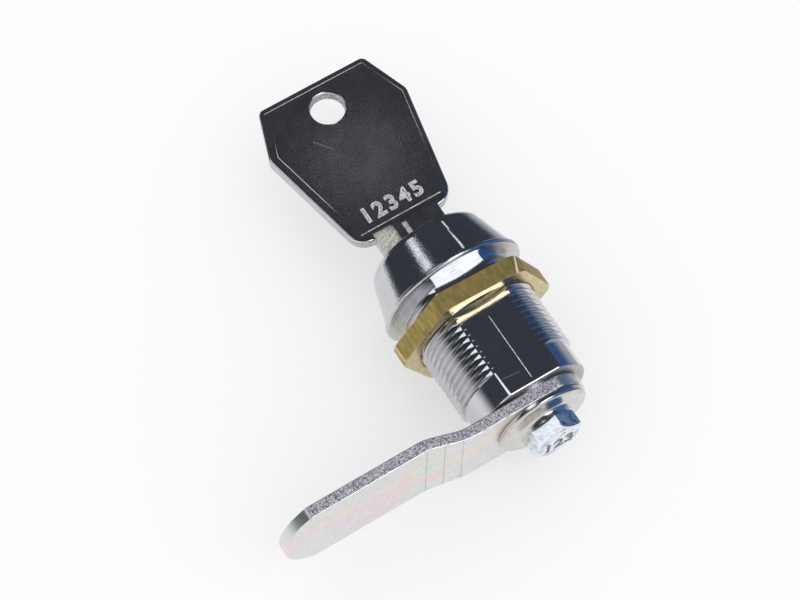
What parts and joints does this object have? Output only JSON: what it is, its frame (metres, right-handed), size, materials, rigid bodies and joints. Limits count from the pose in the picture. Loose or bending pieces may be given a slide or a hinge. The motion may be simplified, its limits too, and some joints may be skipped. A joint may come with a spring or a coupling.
{
  "type": "cam lock",
  "caption": "Mailbox cam lock: a chromed threaded barrel with a wafer plug, a hex nut, a cranked cam held by a hex screw, and a flat key.",
  "frame": {"origin": "centre of the panel hole, on the rear face of the head's rim", "axes": "+Y along the lock's axis from the front to the rear, +X the way the cam points at rest, +Z square on the barrel's upper flat"},
  "size_m": [0.0544, 0.0678, 0.0232],
  "materials": {
    "chrome_plate": "polished bright chrome plate on die-cast zinc",
    "nut_brass": "milled and lightly tarnished",
    "wafer_brass": "stamped",
    "spring_steel": "drawn wire",
    "cam_zinc": "stamped steel with clear zinc plate, faintly iridescent",
    "washer_steel": "bright zinc plate",
    "screw_zinc": "blue zinc plate",
    "key_nickel": "nickel plate, lightly pitted"
  },
  "bodies": {
    "housing": {"housing": "chrome_plate"},
    "plug": {"plug": "chrome_plate", "retaining_wafer": "wafer_brass", "retaining_spring": "spring_steel", "cam": "cam_zinc", "spring_washer": "washer_steel", "cam_screw": "screw_zinc", "wafer_spring_1": "spring_steel", "wafer_spring_2": "spring_steel", "wafer_spring_3": "spring_steel", "wafer_spring_4": "spring_steel", "wafer_spring_5": "spring_steel", "wafer_spring_6": "spring_steel"},
    "nut": {"hex_nut": "nut_brass"},
    "key": {"key": "key_nickel"},
    "wafer_1": {"wafer_1": "wafer_brass"},
    "wafer_2": {"wafer_2": "wafer_brass"},
    "wafer_3": {"wafer_3": "wafer_brass"},
    "wafer_4": {"wafer_4": "wafer_brass"},
    "wafer_5": {"wafer_5": "wafer_brass"},
    "wafer_6": {"wafer_6": "wafer_brass"}
  },
  "joints": [
    {"name": "plug_turn", "type": "hinge", "parent": "housing", "child": "plug", "pos_m": [0, 0, 0], "axis": [0, 1, 0], "range_deg": [-90, 0]},
    {"name": "nut_travel", "type": "slide", "parent": "housing", "child": "nut", "axis": [0, 1, 0], "range_m": [-0.0032, 0.0103]},
    {"name": "key_slide", "type": "slide", "parent": "plug", "child": "key", "axis": [0, -1, 0], "range_m": [0, 0.024]},
    {"name": "wafer_1_slide", "type": "slide", "parent": "plug", "child": "wafer_1", "axis": [1, 0, 0], "range_m": [0, 0.0005], "deforming": ["wafer_spring_1"]},
    {"name": "wafer_2_slide", "type": "slide", "parent": "plug", "child": "wafer_2", "axis": [1, 0, 0], "range_m": [0, 0.0005], "deforming": ["wafer_spring_2"]},
    {"name": "wafer_3_slide", "type": "slide", "parent": "plug", "child": "wafer_3", "axis": [1, 0, 0], "range_m": [0, 0.0005], "deforming": ["wafer_spring_3"]},
    {"name": "wafer_4_slide", "type": "slide", "parent": "plug", "child": "wafer_4", "axis": [1, 0, 0], "range_m": [0, 0.0005], "deforming": ["wafer_spring_4"]},
    {"name": "wafer_5_slide", "type": "slide", "parent": "plug", "child": "wafer_5", "axis": [1, 0, 0], "range_m": [0, 0.0005], "deforming": ["wafer_spring_5"]},
    {"name": "wafer_6_slide", "type": "slide", "parent": "plug", "child": "wafer_6", "axis": [1, 0, 0], "range_m": [0, 0.0005], "deforming": ["wafer_spring_6"]}
  ],
  "couplings": [
    {"joint": "wafer_1_slide", "follows": "key_slide", "ratio": 0.02},
    {"joint": "wafer_2_slide", "follows": "key_slide", "ratio": 0.02},
    {"joint": "wafer_3_slide", "follows": "key_slide", "ratio": 0.02},
    {"joint": "wafer_4_slide", "follows": "key_slide", "ratio": 0.02},
    {"joint": "wafer_5_slide", "follows": "key_slide", "ratio": 0.02},
    {"joint": "wafer_6_slide", "follows": "key_slide", "ratio": 0.02}
  ]
}
